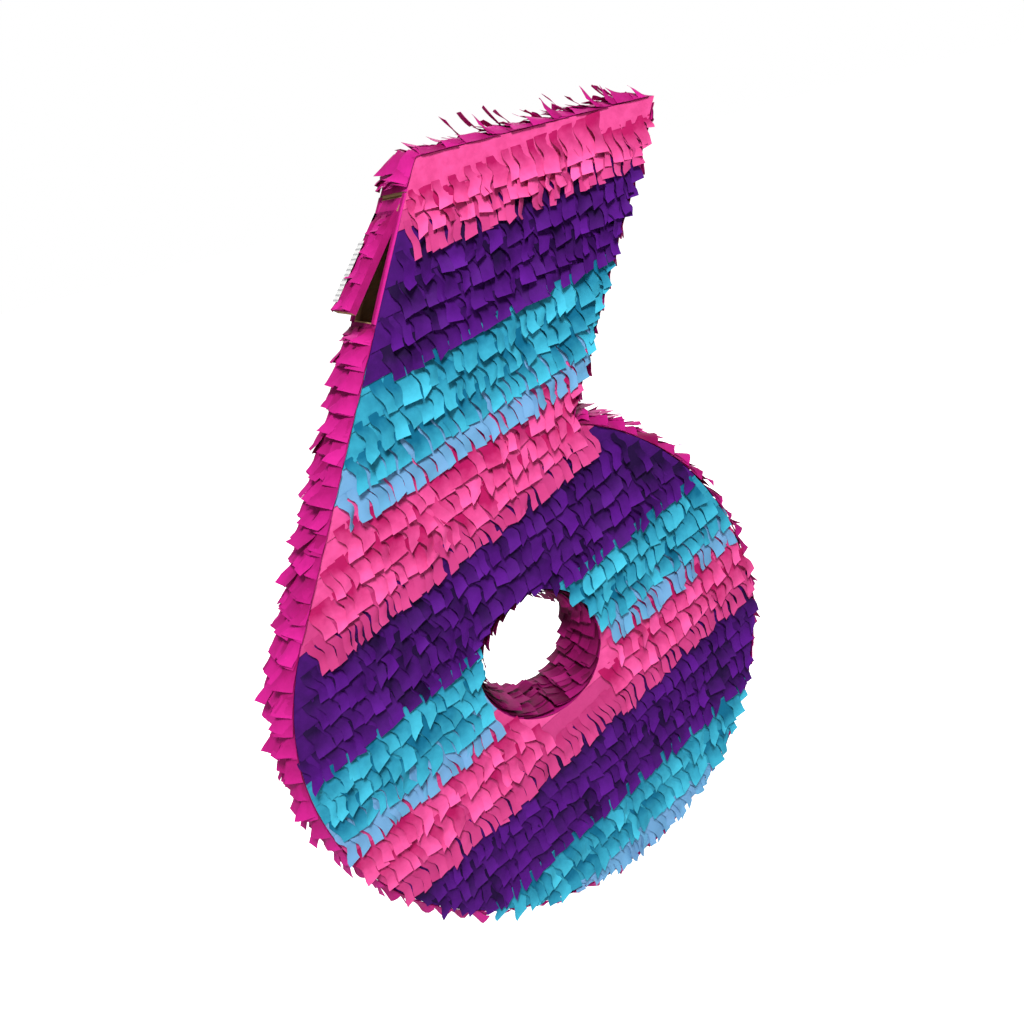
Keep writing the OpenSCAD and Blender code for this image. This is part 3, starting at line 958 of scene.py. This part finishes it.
print(f"the floor is {-FLOOR_Z:.2f} m under the figure")

# %% Surround
# The room is white to look at, and lights the figure with a part of that strength, as a studio
# does whose walls are further off than its lamps.
ROOM_LIGHT = 0.26
world = bpy.data.worlds.new("white_room")
bpy.context.scene.world = world
world.use_nodes = True
nodes, links = world.node_tree.nodes, world.node_tree.links
seen = nodes["Background"]
seen.inputs["Color"].default_value = (1, 1, 1, 1)
seen.inputs["Strength"].default_value = 1.0
lit = nodes.new("ShaderNodeBackground")
lit.inputs["Color"].default_value = (1, 1, 1, 1)
lit.inputs["Strength"].default_value = ROOM_LIGHT
ray = nodes.new("ShaderNodeLightPath")
choice = nodes.new("ShaderNodeMixShader")
links.new(ray.outputs["Is Camera Ray"], choice.inputs["Fac"])
links.new(lit.outputs[0], choice.inputs[1])
links.new(seen.outputs[0], choice.inputs[2])
links.new(choice.outputs[0], nodes["World Output"].inputs["Surface"])
bpy.context.scene.view_settings.view_transform = "Standard"
print("the room lights the figure at", ROOM_LIGHT)


# %% Lamps
def add_area_light(name, place, aim, size, power):
    """A square soft light at place that shines at aim."""
    lamp = bpy.data.lights.new(name, "AREA")
    lamp.size = size
    lamp.energy = power
    holder = bpy.data.objects.new(name, lamp)
    holder.location = place
    holder.rotation_euler = (aim - place).to_track_quat("-Z", "Y").to_euler()
    bpy.context.scene.collection.objects.link(holder)
    print(name, "at", tuple(round(v, 2) for v in place), power, "W")


middle = Vector((0, 0, 0.28))
add_area_light("key", Vector((-0.45, -1.5, 1.9)), middle, size=0.45, power=60)
add_area_light("left_fill", Vector((-2.0, -0.2, 0.9)), middle, size=1.4, power=6)
add_area_light("back_fill", Vector((1.2, 2.2, 1.4)), middle, size=1.6, power=45)

# %% Camera
# The figure is looked at from the left and a little above, and leans as it hangs. The camera is
# placed round the upright figure, in bowl radii, and then turned with that lean.
CAMERA_AZIMUTH = math.radians(25.3)
CAMERA_ELEVATION = math.radians(13.5)
HANG_LEAN = math.radians(15.37)
LENS_MM = 35.16
SENSOR_MM = 36
CAMERA_RADII = 3.694
AIM_RADII = (-0.160, 0.685)
AIM_FORWARD = 4.5 * MM
camera_distance = CAMERA_RADII * bowl_r
away = Vector((-math.sin(CAMERA_AZIMUTH) * math.cos(CAMERA_ELEVATION),
               -math.cos(CAMERA_AZIMUTH) * math.cos(CAMERA_ELEVATION),
               math.sin(CAMERA_ELEVATION)))
right = Vector((0, 0, 1)).cross(away).normalized()
above = away.cross(right)
aim_point = Vector((AIM_RADII[0] * bowl_r, -shell_half - AIM_FORWARD, AIM_RADII[1] * bowl_r))
to_level = Matrix.Rotation(HANG_LEAN, 3, "Y")
turned = Matrix((to_level @ right, to_level @ above, to_level @ away)).transposed()
spot = to_level @ (aim_point + camera_distance * away) + Vector((0, 0, bowl_z))

camera_data = bpy.data.cameras.new("camera")
camera_data.lens = LENS_MM
camera_data.sensor_width = SENSOR_MM
camera = bpy.data.objects.new("camera", camera_data)
camera.matrix_world = Matrix.Translation(spot) @ turned.to_4x4()
bpy.context.scene.collection.objects.link(camera)
bpy.context.scene.camera = camera
print("camera at", tuple(round(v, 3) for v in spot))
